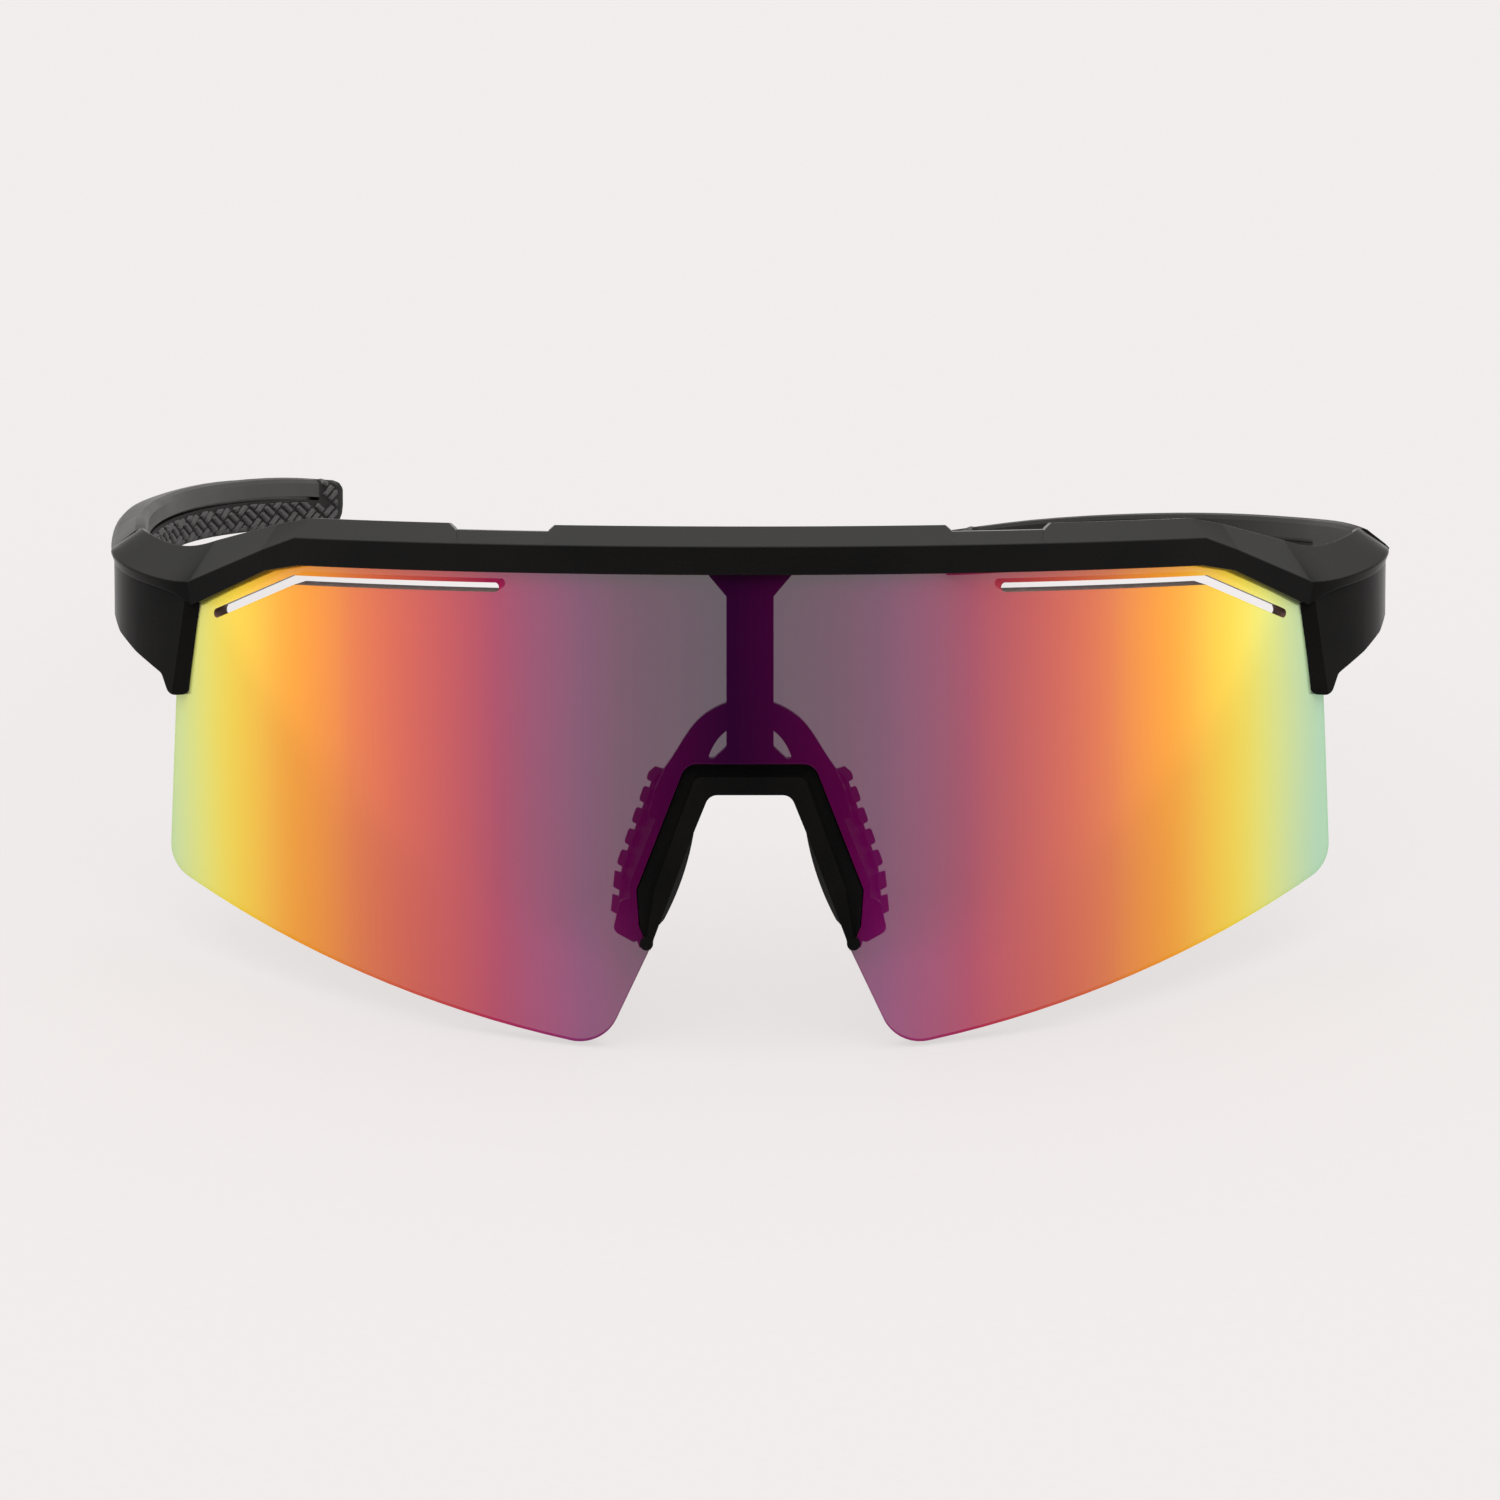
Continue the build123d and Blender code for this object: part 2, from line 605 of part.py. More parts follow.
def assemble():
    front_leaf = make_front_leaf()
    arm, grip = make_temple()
    frame = make_frame([front_leaf, wearer_right(front_leaf)])
    carrier = make_carrier()
    pad = make_pad()
    nodes = {
        "brow_frame": frame,
        "shield_lens": make_lens(),
        "nose_carrier": carrier,
        "nose_pad_left": pad,
        "nose_pad_right": wearer_right(pad),
    }
    fixed = {
        "hinge_front_leaf": front_leaf,
        "hinge_screw": make_screw(),
        "hinge_washer_upper": make_washer(1),
        "hinge_washer_lower": make_washer(-1),
    }
    moving = {
        "temple_arm": arm,
        "temple_grip": grip,
        "hinge_temple_leaf": make_temple_leaf(),
        "hinge_bushing": make_bushing(),
    }
    for name, shape in fixed.items():
        nodes[name + "_left"] = shape
        nodes[name + "_right"] = wearer_right(shape)
    for name, shape in moving.items():
        nodes[name + "_left"] = folded(shape)
        nodes[name + "_right"] = wearer_right(shape)
    return nodes


def lowest(shape, pitch):
    return (Rot(-pitch, 0, 0) * shape).bounding_box().min.Z


def table_pitch(nodes):
    """Angle, in degrees, at which the lens's lobes and the left temple's tip are level."""
    low, high = 10.0, 25.0
    for _ in range(18):
        middle = (low + high) / 2
        if lowest(nodes["temple_grip_left"], middle) > lowest(nodes["shield_lens"], middle):
            low = middle
        else:
            high = middle
    return low


def stand(nodes):
    """Tips the glasses back onto the table, with the origin under the middle of their box."""
    tip = Rot(-table_pitch(nodes), 0, 0)
    box = Compound([tip * shape for shape in nodes.values()]).bounding_box()
    place = Pos(-box.center().X, -box.center().Y, -box.min.Z) * tip
    return {name: place * shape for name, shape in nodes.items()}, place


if __name__ == "__main__":
    os.makedirs("parts", exist_ok=True)
    placed, place = stand(assemble())
    for name, shape in placed.items():
        export_step(shape, f"parts/{name}.step")
    print("place", place)
    lean = radians(HINGE_LEAN)
    for side, name in ((1, "left"), (-1, "right")):
        axis = place * Pos(side * HINGE_X, HINGE_Y, HINGE_Z)
        tip = place * Pos(side * (HINGE_X - sin(lean)), HINGE_Y, HINGE_Z + cos(lean))
        print(name, "hinge", axis.position, "along", tip.position - axis.position)
    print("nose rest", (place * Pos(0, 9, -12)).position, "down", (place * Pos(0, 9, -13)).position)
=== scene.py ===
import itertools
import json
import math

import bmesh
import bpy
from mathutils import Matrix, Vector
from mathutils.bvhtree import BVHTree


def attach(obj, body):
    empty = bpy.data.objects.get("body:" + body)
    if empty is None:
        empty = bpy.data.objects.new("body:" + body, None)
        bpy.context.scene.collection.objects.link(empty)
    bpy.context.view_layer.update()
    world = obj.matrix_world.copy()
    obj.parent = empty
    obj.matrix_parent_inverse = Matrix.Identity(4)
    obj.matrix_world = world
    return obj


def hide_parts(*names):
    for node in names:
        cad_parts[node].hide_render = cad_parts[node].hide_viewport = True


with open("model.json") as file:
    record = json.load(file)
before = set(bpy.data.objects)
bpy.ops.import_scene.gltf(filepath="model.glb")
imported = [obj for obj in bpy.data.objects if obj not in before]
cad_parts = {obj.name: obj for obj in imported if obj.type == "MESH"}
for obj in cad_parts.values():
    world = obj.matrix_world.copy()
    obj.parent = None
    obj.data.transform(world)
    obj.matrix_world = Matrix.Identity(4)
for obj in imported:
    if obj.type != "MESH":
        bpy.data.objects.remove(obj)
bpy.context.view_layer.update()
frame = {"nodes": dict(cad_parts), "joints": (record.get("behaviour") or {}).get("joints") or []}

MM = 0.001

# ---- The design frame: X to the wearer's left, Y back, Z up, origin at the lens's front centre, in mm ----
# The left hinge's joint tells how the model was set down. Its axis has no Y part in the design frame, so
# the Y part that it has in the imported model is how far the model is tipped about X.
HINGE = Vector((70.2, 42.0, 15.6))
REST_FOLD = math.radians(16.0)  # how far the left temple is folded in at rest
joints = {joint["name"]: joint for joint in frame["joints"]}
fold = joints["left_temple_fold"]
fold_at = Vector(fold["pos_m"])
fold_axis = Vector(fold["axis"])
turn = Matrix.Rotation(-math.atan2(fold_axis.y, fold_axis.z), 4, "X")
PLACE = Matrix.Translation(fold_at - turn @ (HINGE * MM)) @ turn @ Matrix.Scale(MM, 4)
UNPLACE = PLACE.inverted()

# ---- Camera: the photo's viewing angle, aimed at the lens's front centre ----
CAMERA_AWAY = 700.0
CAMERA_LIFT = math.radians(5.5)
camera_data = bpy.data.cameras.new("camera")
camera_data.lens = 151.2
camera_data.sensor_width = 36.0
camera_data.clip_start = 0.05
camera_data.clip_end = 30.0
camera = bpy.data.objects.new("camera", camera_data)
bpy.context.scene.collection.objects.link(camera)
camera_back = CAMERA_AWAY * math.cos(CAMERA_LIFT)
camera_up = CAMERA_AWAY * math.sin(CAMERA_LIFT)
camera.location = PLACE @ Vector((0, -camera_back, camera_up))
camera.rotation_mode = "QUATERNION"
camera.rotation_quaternion = (PLACE.translation - camera.location).to_track_quat("-Z", "Y")
bpy.context.scene.camera = camera
bpy.context.scene.view_settings.view_transform = "Standard"


# ---- Small helpers ----
def linear(*srgb):
    """An 8-bit colour as the linear RGBA that sockets take."""
    channels = [value / 255 for value in srgb]
    return tuple(c / 12.92 if c <= 0.04045 else ((c + 0.055) / 1.055) ** 2.4 for c in channels) + (1.0,)


class Tree:
    """A node tree under construction. An input is given by its name, or by its place as in0, in1."""

    def __init__(self, tree):
        self.tree = tree

    def link(self, value, socket):
        self.tree.links.new(value, socket)

    def add(self, kind, settings=None, **inputs):
        node = self.tree.nodes.new(kind)
        for name, value in (settings or {}).items():
            setattr(node, name, value)
        for name, value in inputs.items():
            by_place = name.startswith("in")
            socket = node.inputs[int(name[2:]) if by_place else name.replace("_", " ")]
            if isinstance(value, bpy.types.NodeSocket):
                self.link(value, socket)
            else:
                socket.default_value = value
        return node

    def where(self):
        return self.add("ShaderNodeTexCoord").outputs["Object"]

    def math(self, operation, a, b=0.0):
        return self.add("ShaderNodeMath", {"operation": operation}, in0=a, in1=b).outputs[0]

    def noise(self, where, scale, detail):
        return self.add("ShaderNodeTexNoise", Vector=where, Scale=scale, Detail=detail).outputs["Fac"]

    def ramp(self, value, stops, interpolation="LINEAR"):
        node = self.add("ShaderNodeValToRGB", in0=value)
        elements = node.color_ramp.elements
        node.color_ramp.interpolation = interpolation
        while len(elements) < len(stops):
            elements.new(0.5)
        for element, (position, colour) in zip(elements, stops):
            element.position = position
            element.color = colour if len(colour) == 4 else (*colour, 1.0)
        return node.outputs["Color"]

    def tint(self, value, span, dark, light):
        """A colour that goes from dark to light as the value crosses the span."""
        return self.ramp(value, [(span[0], dark), (span[1], light)])

    def spread(self, value, span, onto, smooth=False):
        """A number that goes from one end of onto to the other as the value crosses the span."""
        return self.add(
            "ShaderNodeMapRange", {"interpolation_type": "SMOOTHSTEP" if smooth else "LINEAR"},
            Value=value, From_Min=span[0], From_Max=span[1], To_Min=onto[0], To_Max=onto[1],
        ).outputs["Result"]


def material(name):
    made = bpy.data.materials.new(name)
    made.use_nodes = True
    return made, Tree(made.node_tree), made.node_tree.nodes["Principled BSDF"]


def set_shader(shader, **values):
    for name, value in values.items():
        shader.inputs[name.replace("_", " ")].default_value = value


def piece_from(bm, name, body, materials):
    """A bmesh as a finished piece that rides on a body."""
    mesh = bpy.data.meshes.new(name)
    bm.to_mesh(mesh)
    bm.free()
    made = bpy.data.objects.new(name, mesh)
    bpy.context.scene.collection.objects.link(made)
    for each in materials:
        mesh.materials.append(each)
    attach(made, body)
    return made


# ---- Materials: colours are linear, noise scales are per metre, bump depths are in metres ----
NOISE_SPAN = (0.3, 0.7)  # the range that a noise mostly keeps to
MOTTLE_SPAN = (0.35, 0.65)  # the same for a patchy and a fine noise together
PATCH_SCALE = 90.0
PATCH_SHARE = 0.6  # of the mottling, the rest being the fine grain's
GRAIN_CELLS = 0.6  # how coarse the eroded cells are beside the grain
SPECKLE_RISE = 0.7  # how high the grain stands beside the cells
GRAIN_BUMP, BRUSH_BUMP = 0.35, 0.3
FINE, SOFT, ROUGH = 0.00002, 0.00003, 0.00004
BRUSH_DEPTH = 0.00001


def moulded(name, dark, light, rough, grain, depth, specular):
    """A moulded plastic or rubber: mottled colour, uneven gloss and a fine eroded grain."""
    made, tree, shader = material(name)
    where = tree.where()
    patches = tree.noise(where, scale=PATCH_SCALE, detail=4.0)
    patches = tree.math("MULTIPLY", patches, PATCH_SHARE)
    speckle = tree.noise(where, scale=grain, detail=3.0)
    mottle = tree.math("ADD", patches, tree.math("MULTIPLY", speckle, 1 - PATCH_SHARE))
    cells = tree.add(
        "ShaderNodeTexVoronoi", {"feature": "SMOOTH_F1"}, Vector=where, Scale=grain * GRAIN_CELLS
    )
    height = tree.math("ADD", cells.outputs["Distance"], tree.math("MULTIPLY", speckle, SPECKLE_RISE))
    bump = tree.add("ShaderNodeBump", Strength=GRAIN_BUMP, Distance=depth, Height=height)
    tree.link(tree.tint(mottle, MOTTLE_SPAN, dark, light), shader.inputs["Base Color"])
    tree.link(tree.spread(mottle, MOTTLE_SPAN, rough), shader.inputs["Roughness"])
    tree.link(bump.outputs["Normal"], shader.inputs["Normal"])
    set_shader(shader, Specular_IOR_Level=specular)
    return made


def brushed(name, dark, light, rough, stretch, scale):
    """A turned or brushed metal: fine lines drawn out across one direction."""
    made, tree, shader = material(name)
    where = tree.where()
    drawn = tree.add("ShaderNodeMapping", Vector=where, Scale=stretch).outputs["Vector"]
    lines = tree.noise(drawn, scale=scale, detail=5.0)
    patches = tree.noise(where, scale=500.0, detail=3.0)
    bump = tree.add("ShaderNodeBump", Strength=BRUSH_BUMP, Distance=BRUSH_DEPTH, Height=lines)
    tree.link(tree.tint(lines, NOISE_SPAN, dark, light), shader.inputs["Base Color"])
    tree.link(tree.spread(patches, NOISE_SPAN, rough), shader.inputs["Roughness"])
    tree.link(bump.outputs["Normal"], shader.inputs["Normal"])
    set_shader(shader, Metallic=1.0)
    return made


frame_black = moulded(
    "frame_black", dark=(0.003, 0.0029, 0.0029), light=(0.0052, 0.0048, 0.0046),
    rough=(0.2, 0.28), grain=5200.0, depth=FINE, specular=0.07,
)
temple_black = moulded(
    "temple_black", dark=(0.002, 0.0018, 0.0016), light=(0.0042, 0.0036, 0.0031),
    rough=(0.28, 0.36), grain=5200.0, depth=FINE, specular=0.09,
)
set_shader(temple_black.node_tree.nodes["Principled BSDF"], Specular_Tint=(1.0, 0.86, 0.74, 1.0))
carrier_black = moulded(
    "carrier_black", dark=(0.005, 0.005, 0.005), light=(0.009, 0.008, 0.008),
    rough=(0.3, 0.42), grain=4200.0, depth=FINE, specular=0.3,
)
nose_rubber = moulded(
    "nose_rubber", dark=(0.006, 0.006, 0.006), light=(0.014, 0.013, 0.013),
    rough=(0.55, 0.72), grain=3600.0, depth=ROUGH, specular=0.25,
)
grip_rubber = moulded(
    "grip_rubber", dark=(0.003, 0.0028, 0.0028), light=(0.006, 0.0055, 0.0055),
    rough=(0.6, 0.75), grain=3600.0, depth=ROUGH, specular=0.1,
)
weave_rubber = moulded(
    "weave_rubber", dark=(0.02, 0.019, 0.019), light=(0.038, 0.036, 0.037),
    rough=(0.55, 0.7), grain=3600.0, depth=ROUGH, specular=0.25,
)
nylon = moulded(
    "nylon", dark=(0.5, 0.48, 0.42), light=(0.62, 0.6, 0.54),
    rough=(0.35, 0.5), grain=2600.0, depth=SOFT, specular=0.5,
)
hinge_steel = brushed(
    "hinge_steel", dark=(0.32, 0.32, 0.33), light=(0.52, 0.52, 0.54),
    rough=(0.24, 0.4), stretch=(1.0, 1.0, 14.0), scale=900.0,
)
screw_steel = brushed(
    "screw_steel", dark=(0.4, 0.4, 0.42), light=(0.62, 0.62, 0.64),
    rough=(0.16, 0.3), stretch=(8.0, 8.0, 1.0), scale=1500.0,
)

FINISH = {
    "nose_carrier": carrier_black,
    "nose_pad_left": nose_rubber,
    "nose_pad_right": nose_rubber,
    "brow_frame": frame_black,
}
for side in ("left", "right"):
    FINISH["temple_arm_" + side] = temple_black
    FINISH["temple_grip_" + side] = grip_rubber
    FINISH["hinge_front_leaf_" + side] = hinge_steel
    FINISH["hinge_temple_leaf_" + side] = hinge_steel
    FINISH["hinge_screw_" + side] = screw_steel
    for part in ("washer_upper_", "washer_lower_", "bushing_"):
        FINISH["hinge_" + part + side] = nylon
for node, finish in FINISH.items():
    for material_slot in frame["nodes"][node].material_slots:
        material_slot.material = finish

# ---- Shield lens: front coating, smoked rear face and satin cut edges ----
LENS_R, LENS_RV, LENS_T = 90.0, 300.0, 2.0  # radius across, radius upright, thickness
COAT, SMOKE, VENT_WALL, OUTER_EDGE = range(4)
FACE_DEPTH = 0.12  # a face whose corners are all this close to the front or rear surface lies in it
VENT_LOW, VENT_HIGH, VENT_END = 11.0, 19.5, 64.0  # the band of the lens that holds the vent slots
WELD = 0.5e-6  # corners closer than this, in metres, are one
HALF_SPAN = 68.0
COLOUR_SHIFT = 2.0  # the colours are centred this far to the wearer's right of the middle
DRIFT = 1.6  # how far the colours waver, in all
GLANCE_RISE_FROM, GLANCE_FULL_FROM = 15.0, 50.0  # painted reflection: the coat's alpha rises between these distances from the middle, standing in for its stronger reflection at the glancing angles towards the sides
COAT_ALPHA = (0.72, 0.9)
SMOKE_ALPHA = 0.54
# The mirror coating's colour against the distance from its centre line, in mm. This is a painted
# reflection: the colour shift the coating shows with viewing angle, laid on by position across the lens.
PAINTED_REFLECTION_COLOURS = (
    (0, (65, 0, 65)),
    (13, (120, 0, 90)),
    (18, (145, 0, 105)),
    (28, (185, 30, 75)),
    (43, (220, 115, 50)),
    (52, (240, 170, 35)),
    (60, (230, 220, 95)),
    (68, (175, 215, 180)),
)


def lens_normal(point):
    """The outward normal of the lens's faces at a point in design millimetres."""
    across = Vector((point.x, point.y - LENS_R, 0.0)).normalized()
    lean = point.z / math.sqrt(LENS_RV ** 2 - point.z ** 2)
    return Vector((across.x, across.y, lean)).normalized()


def lens_depth(point):
    """How far a point lies behind the lens's front face."""
    radius = LENS_R - (LENS_RV - math.sqrt(LENS_RV ** 2 - point.z ** 2))
    return radius - math.hypot(point.x, point.y - LENS_R)


def mirror_coat():
    """The front face: a mirror coat with painted reflection colours, the shift with viewing angle laid on
    by position, and painted stronger reflection towards the sides, with faint smudges in its gloss.
    """
    made, tree, shader = material("lens_coat")
    where = tree.where()
    across = tree.add("ShaderNodeSeparateXYZ", Vector=where).outputs["X"]
    drift = tree.math("SUBTRACT", tree.noise(where, scale=26.0, detail=3.0), 0.5)
    offset = tree.math("SUBTRACT", across, PLACE.translation.x - COLOUR_SHIFT * MM)
    wavered = tree.math("ADD", offset, tree.math("MULTIPLY", drift, DRIFT * MM))
    share = tree.math("DIVIDE", tree.math("ABSOLUTE", wavered), HALF_SPAN * MM)
    stops = [(away / HALF_SPAN, linear(*colour)) for away, colour in PAINTED_REFLECTION_COLOURS]
    smudge = tree.noise(where, scale=180.0, detail=4.0)
    distance = tree.math("ABSOLUTE", tree.math("SUBTRACT", across, PLACE.translation.x))
    # Painted reflection: the coat grows more opaque towards the sides in place of the stronger reflection
    # at glancing angles there
    glance_alpha = tree.spread(distance, (GLANCE_RISE_FROM * MM, GLANCE_FULL_FROM * MM), COAT_ALPHA, smooth=True)
    # Painted reflection: the coating's angle-dependent colour, laid on by position across the lens
    tree.link(tree.ramp(share, stops, "CARDINAL"), shader.inputs["Base Color"])
    tree.link(tree.spread(smudge, NOISE_SPAN, (0.1, 0.16)), shader.inputs["Roughness"])
    tree.link(glance_alpha, shader.inputs["Alpha"])
    set_shader(shader, Metallic=0.6)
    return made


def smoke_face():
    """The rear face: dark smoked plastic that the light comes through."""
    made, tree, shader = material("lens_smoke")
    where = tree.where()
    clouds = tree.noise(where, scale=60.0, detail=3.0)
    smudge = tree.noise(where, scale=200.0, detail=4.0)
    tint = tree.tint(clouds, NOISE_SPAN, (0.006, 0.004, 0.005), (0.012, 0.008, 0.01))
    tree.link(tint, shader.inputs["Base Color"])
    tree.link(tree.spread(smudge, NOISE_SPAN, (0.06, 0.14)), shader.inputs["Roughness"])
    set_shader(shader, Alpha=SMOKE_ALPHA)
    return made


def lens_wall(name, dark, light, specular):
    """The lens's cut edge: satin, with a fine drag of the cutter."""
    made, tree, shader = material(name)
    where = tree.where()
    clouds = tree.noise(where, scale=700.0, detail=4.0)
    drag = tree.noise(where, scale=2400.0, detail=3.0)
    tree.link(tree.tint(clouds, NOISE_SPAN, dark, light), shader.inputs["Base Color"])
    tree.link(tree.spread(drag, NOISE_SPAN, (0.3, 0.45)), shader.inputs["Roughness"])
    set_shader(shader, Specular_IOR_Level=specular)
    return made


def lens_surface(face):
    """Which of the lens's materials a face takes: the coating, the rear face, a vent's wall or the edge."""
    corners = [UNPLACE @ vert.co for vert in face.verts]
    depths = [lens_depth(corner) for corner in corners]
    if max(depths) < FACE_DEPTH:
        return COAT
    if min(depths) > LENS_T - FACE_DEPTH:
        return SMOKE
    inside = all(VENT_LOW < corner.z < VENT_HIGH and abs(corner.x) < VENT_END for corner in corners)
    return VENT_WALL if inside else OUTER_EDGE


def make_lens():
    """The CAD lens's own shape, with the exact curve in its normals and a material for each surface."""
    bm = bmesh.new()
    bm.from_mesh(frame["nodes"]["shield_lens"].data)
    bmesh.ops.remove_doubles(bm, verts=bm.verts, dist=WELD)
    normals = []
    for face in bm.faces:
        face.smooth = True
        face.material_index = lens_surface(face)
        for corner in face.loops:
            outward = (PLACE.to_3x3() @ lens_normal(UNPLACE @ corner.vert.co)).normalized()
            curved = {COAT: outward, SMOKE: -outward}
            normals.append(curved.get(face.material_index, face.normal.copy()))
    materials = [
        mirror_coat(),
        smoke_face(),
        # The vent walls take a lighter, browner copy of the edge material: painted light from above on the
        # slot walls
        lens_wall("lens_vent_wall", (0.1, 0.052, 0.04), (0.17, 0.095, 0.075), specular=0.15),
        lens_wall("lens_edge", (0.01, 0.005, 0.004), (0.026, 0.014, 0.011), specular=0.12),
    ]
    made = piece_from(bm, "lens_shield", "front", materials)
    made.data.normals_split_custom_set(normals)
    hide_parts("shield_lens")


make_lens()

# ---- Woven relief on the temples' inner faces ----
# The weave is laid out flat, in cells of a chequered diagonal grid. The flat X runs along the temple and is
# stretched, and the flat Y runs up it. Each cell holds two ribs, turned a quarter from its neighbours'.
WEAVE_FRONT, WEAVE_REAR = 59.5, 152.5
WEAVE_MARGIN = 0.3  # bare rubber between the weave and the grip's upper and lower edges
WEAVE_STRETCH = 2.7
CELL = 1.9
RIBS = 2
RIB_GAP = 0.3
MIN_RIB = 0.12  # a rib cut back to a smaller area than this is left out
MIN_REACH = 0.02  # the points of a rib's outline stay this far from its centre
RING_POINTS = 28
# Inset and height of each of a rib's outlines, from inside the rubber to its crown
RIB_PROFILE = ((0.0, -0.25), (0.0, 0.1), (0.06, 0.24), (0.17, 0.38))
GRIP_LOW, GRIP_HIGH = 10, 28  # heights that the grip's inner face lies between
STEPS_A_MM = 10
SLOPE_REACH = 2  # an edge's slope is taken over this distance to each side
RAY_FROM = -20.0  # X from which rays look outward at the right grip


def grip_face():
    """The right grip's inner face: a ray test at (y, z), and rows of (y, lowest z, highest z)."""
    bm = bmesh.new()
    bm.from_mesh(frame["nodes"]["temple_grip_right"].data)
    bm.transform(UNPLACE)
    tree = BVHTree.FromBMesh(bm)
    bm.free()

    def hit(y, z):
        return tree.ray_cast(Vector((RAY_FROM, y, z)), Vector((-1.0, 0.0, 0.0)))

    levels = [step / STEPS_A_MM for step in range(GRIP_LOW * STEPS_A_MM, GRIP_HIGH * STEPS_A_MM)]
    edges = []
    y = WEAVE_FRONT
    while y <= WEAVE_REAR:
        heights = [z for z in levels if hit(y, z)[0] is not None]
        edges.append((y, min(heights), max(heights)))
        y += 1.0
    return hit, edges


def edge_at(edges, y, which):
    """The height of the lower (1) or upper (2) edge at any y."""
    for a, b in zip(edges, edges[1:]):
        if a[0] <= y <= b[0]:
            share = (y - a[0]) / (b[0] - a[0])
            return a[which] + (b[which] - a[which]) * share
    return edges[0][which] if y < edges[0][0] else edges[-1][which]


def edge_slope(edges, y, which):
    """An edge's slope at y, in the flat weave."""
    rise = edge_at(edges, y + SLOPE_REACH, which) - edge_at(edges, y - SLOPE_REACH, which)
    return rise / (2 * SLOPE_REACH) * WEAVE_STRETCH


def clipped(corners, limits):
    """A convex polygon cut back to the half-planes normal . point <= room."""
    for normal, room in limits:
        kept = []
        for here, ahead in zip(corners, corners[1:] + corners[:1]):
            out_here = normal.dot(here) - room
            out_ahead = normal.dot(ahead) - room
            if out_here <= 0:
                kept.append(here)
            if (out_here < 0) != (out_ahead < 0):
                kept.append(here.lerp(ahead, out_here / (out_here - out_ahead)))
        corners = kept
    return corners


def area_and_centre(corners):
    total, centre = 0.0, Vector((0, 0))
    for here, ahead in zip(corners, corners[1:] + corners[:1]):
        wedge = here.x * ahead.y - ahead.x * here.y
        total += wedge / 2
        centre += (here + ahead) * wedge / 6
    return abs(total), centre / total if total else centre


def rib_ring(centre, limits, inset):
    """An outline about a centre, from the half-planes that bound it, pulled in by an inset."""
    ring = []
    for step in range(RING_POINTS):
        angle = 2 * math.pi * (step + 0.5) / RING_POINTS
        ray = Vector((math.cos(angle), math.sin(angle)))
        reach = min(
            (room - normal.dot(centre) - inset) / normal.dot(ray)
            for normal, room in limits
            if normal.dot(ray) > 1e-6
        )
        ring.append(centre + ray * max(reach, MIN_REACH))
    return ring


def grip_limits(edges, middle, centre):
    """The half-planes that hold a rib between the grip's edges and the weave's two ends."""
    y = WEAVE_FRONT + centre.x * WEAVE_STRETCH
    high = edge_at(edges, y, 2) - WEAVE_MARGIN - middle
    low = edge_at(edges, y, 1) + WEAVE_MARGIN - middle
    over = Vector((-edge_slope(edges, y, 2), 1)).normalized()
    under = Vector((edge_slope(edges, y, 1), -1)).normalized()
    return [
        (over, over.dot(Vector((centre.x, high)))),
        (under, under.dot(Vector((centre.x, low)))),
        (Vector((-1, 0)), 0.0),
        (Vector((1, 0)), (WEAVE_REAR - WEAVE_FRONT) / WEAVE_STRETCH),
    ]


def rib_shape(centre, run, side, limits):
    """A rib's centre and half-planes once it is cut back to the grip, or None if too little is left."""
    half_run = (CELL - RIB_GAP) / 2
    half_side = (CELL / RIBS - RIB_GAP) / 2
    signs = ((-1, -1), (1, -1), (1, 1), (-1, 1))
    whole = [centre + run * half_run * a + side * half_side * b for a, b in signs]
    corners = clipped(whole, limits)
    if len(corners) < 3:
        return None
    sides = [
        (run, run.dot(centre) + half_run),
        (-run, -run.dot(centre) + half_run),
        (side, side.dot(centre) + half_side),
        (-side, -side.dot(centre) + half_side),
    ]
    area, middle = area_and_centre(corners)
    return None if area < MIN_RIB else (middle, limits + sides)


def add_rib(bm, surface, centre, limits):
    """One rib, as stacked outlines. It is left out where part of it would miss the grip's face."""
    outlines = [
        [surface(spot, height) for spot in rib_ring(centre, limits, inset)]
        for inset, height in RIB_PROFILE
    ]
    if any(spot is None for outline in outlines for spot in outline):
        return
    rings = [[bm.verts.new(spot) for spot in outline] for outline in outlines]
    for lower, upper in zip(rings, rings[1:]):
        for k in range(RING_POINTS):
            n = (k + 1) % RING_POINTS
            bm.faces.new((lower[k], lower[n], upper[n], upper[k]))
    bm.faces.new(rings[-1])
    bm.faces.new(list(reversed(rings[0])))


def weave_relief():
    """The ribs of the weave on the right temple, in the design frame."""
    hit, edges = grip_face()
    middle = (edges[0][1] + edges[0][2]) / 2

    def surface(spot, height):
        where, normal = hit(WEAVE_FRONT + spot.x * WEAVE_STRETCH, middle + spot.y)[:2]
        return None if where is None else where + normal * height

    bm = bmesh.new()
    along = Vector((1, 1)).normalized()
    across = Vector((1, -1)).normalized()
    reach = int((WEAVE_REAR - WEAVE_FRONT) / WEAVE_STRETCH / CELL) + 4
    for i, j in itertools.product(range(-reach, reach), repeat=2):
        run, side = (along, across) if (i + j) % 2 == 0 else (across, along)
        cell = along * (i + 0.5) * CELL + across * (j + 0.5) * CELL
        for rib in range(RIBS):
            centre = cell + side * ((rib + 0.5) * CELL / RIBS - CELL / 2)
            y = WEAVE_FRONT + centre.x * WEAVE_STRETCH
            if WEAVE_FRONT - CELL < y < WEAVE_REAR + CELL:
                shape = rib_shape(centre, run, side, grip_limits(edges, middle, centre))
                if shape:
                    add_rib(bm, surface, *shape)
    bmesh.ops.recalc_face_normals(bm, faces=bm.faces)
    for face in bm.faces:
        face.smooth = len(face.verts) == 4
    return bm


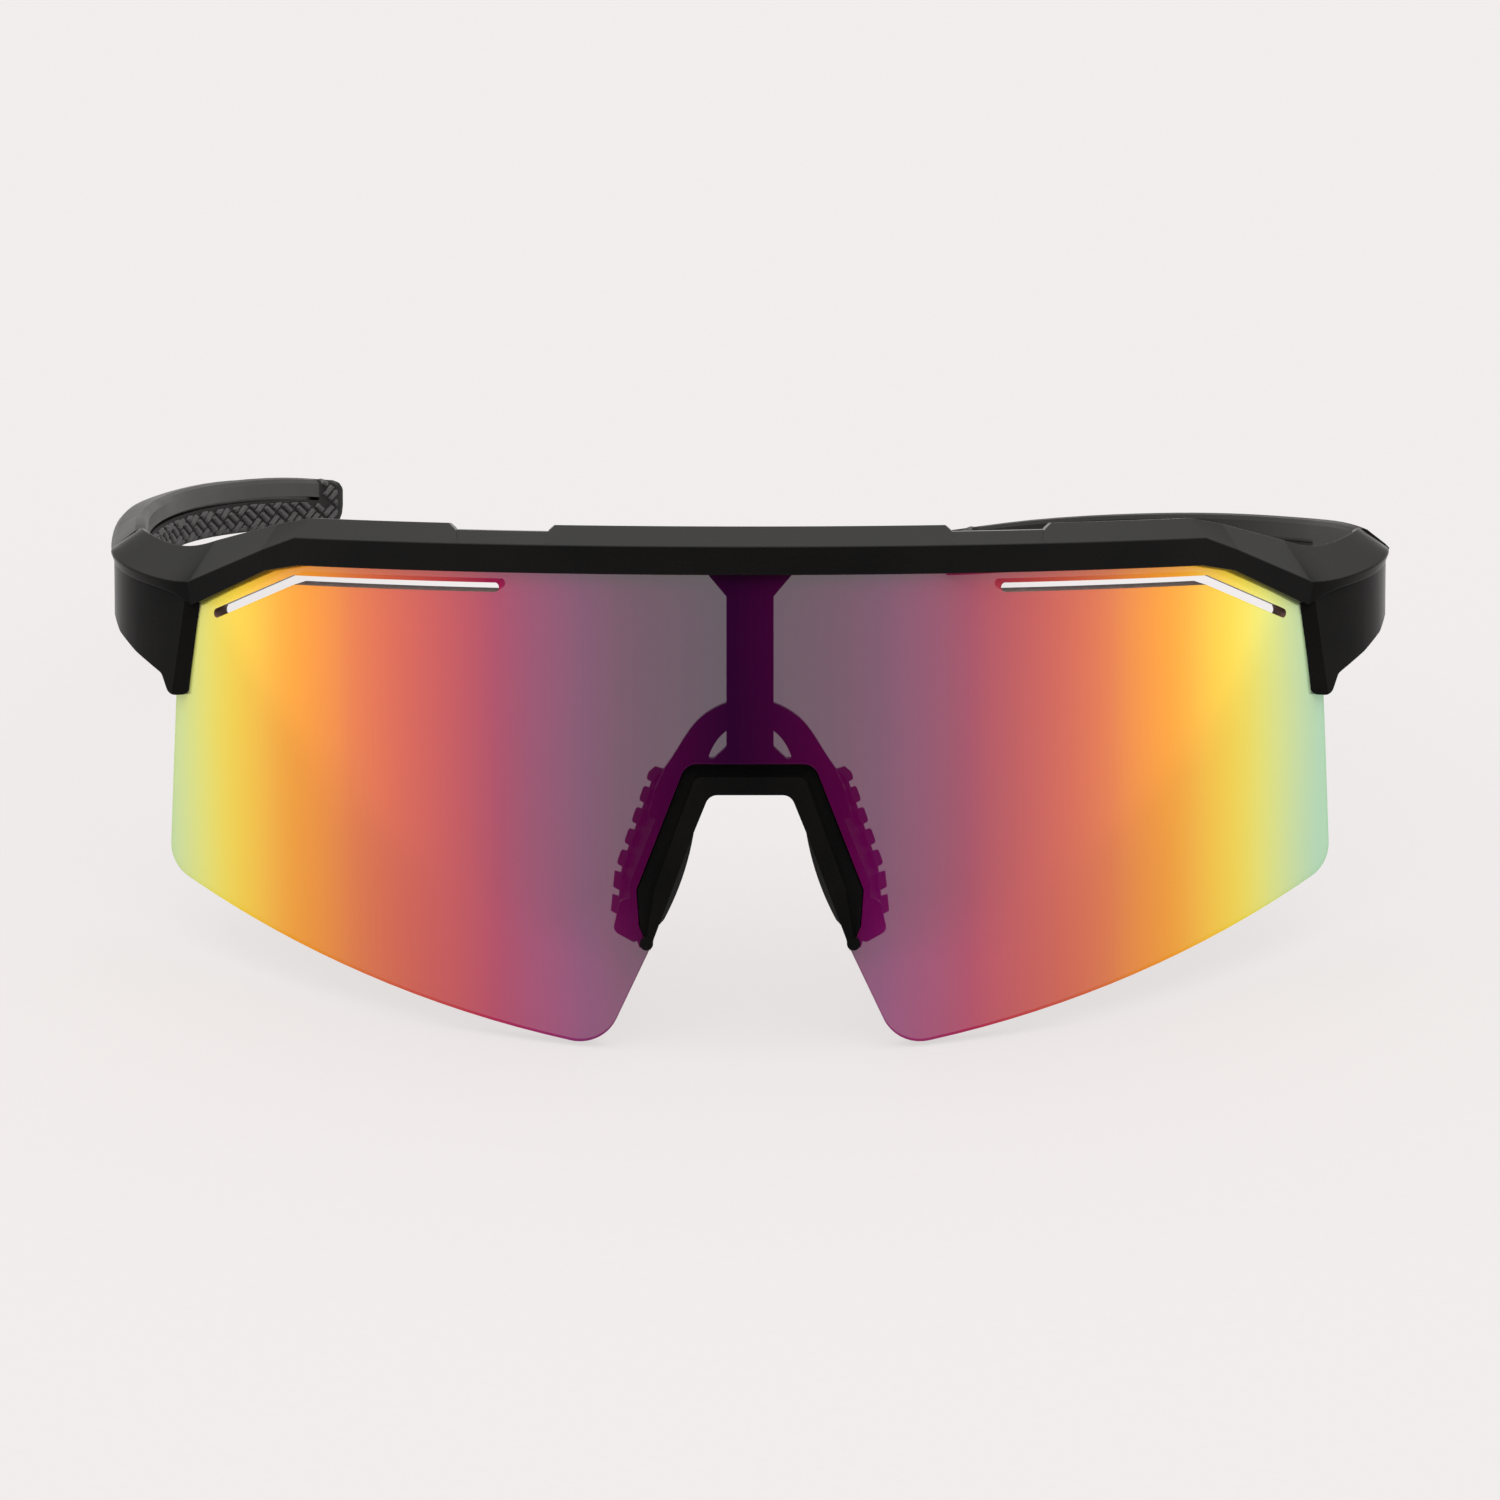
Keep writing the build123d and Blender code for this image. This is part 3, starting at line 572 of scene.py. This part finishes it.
def add_weave(side):
    """The weave on one temple. The left one is mirrored, and turned by its temple's fold at rest."""
    bm = weave_relief()
    if side == "left":
        bm.transform(Matrix.Scale(-1, 4, Vector((1, 0, 0))))
        bmesh.ops.reverse_faces(bm, faces=bm.faces)
    bm.transform(PLACE)
    if side == "left":
        spin = Matrix.Rotation(REST_FOLD, 4, fold_axis)
        bm.transform(Matrix.Translation(fold_at) @ spin @ Matrix.Translation(-fold_at))
    piece_from(bm, "grip_weave_" + side, side + "_temple", [weave_rubber])


for side in ("left", "right"):
    add_weave(side)

# ---- Floor ----
FLOOR_HALF = 6.0
floor_corners = [(x * FLOOR_HALF, y * FLOOR_HALF, 0) for x, y in ((-1, -1), (1, -1), (1, 1), (-1, 1))]
floor_mesh = bpy.data.meshes.new("floor")
floor_mesh.from_pydata(floor_corners, [], [(0, 1, 2, 3)])
floor = bpy.data.objects.new("floor", floor_mesh)
bpy.context.scene.collection.objects.link(floor)
floor_paper, floor_tree, floor_shader = material("floor_paper")
fibre = floor_tree.noise(floor_tree.where(), scale=900.0, detail=4.0)
floor_tint = floor_tree.tint(fibre, NOISE_SPAN, (0.078, 0.076, 0.0765), (0.082, 0.08, 0.0805))
floor_tree.link(floor_tint, floor_shader.inputs["Base Color"])
set_shader(
    floor_shader,
    Roughness=0.9,
    Specular_IOR_Level=0.0,
    Emission_Color=(0.888, 0.855, 0.847, 1.0),
    Emission_Strength=0.75,
)
floor_mesh.materials.append(floor_paper)

# ---- Soft studio light: dark towards the camera, bright from above and from both sides ----
FILL = 0.08
world = bpy.data.worlds.new("studio")
world.use_nodes = True
bpy.context.scene.world = world
sky = Tree(world.node_tree)
background = world.node_tree.nodes["Background"]
facing = sky.add("ShaderNodeTexCoord").outputs["Generated"]
direction = sky.add("ShaderNodeSeparateXYZ", Vector=facing)
sideways = sky.math("ABSOLUTE", direction.outputs["X"])
from_side = sky.spread(sideways, (0.25, 0.95), (0.0, 1.15), smooth=True)
from_top = sky.spread(direction.outputs["Z"], (0.4, 0.95), (0.0, 4.0), smooth=True)
from_back = sky.spread(direction.outputs["Y"], (0.0, 0.9), (0.0, 0.9), smooth=True)
back_height = sky.spread(direction.outputs["Z"], (0.1, 0.6), (0.35, 1.0), smooth=True)
behind = sky.math("MULTIPLY", from_back, back_height)
light = sky.math("ADD", sky.math("ADD", from_side, from_top), sky.math("ADD", behind, FILL))
sky.link(light, background.inputs["Strength"])
background.inputs["Color"].default_value = (1.0, 0.985, 0.97, 1.0)
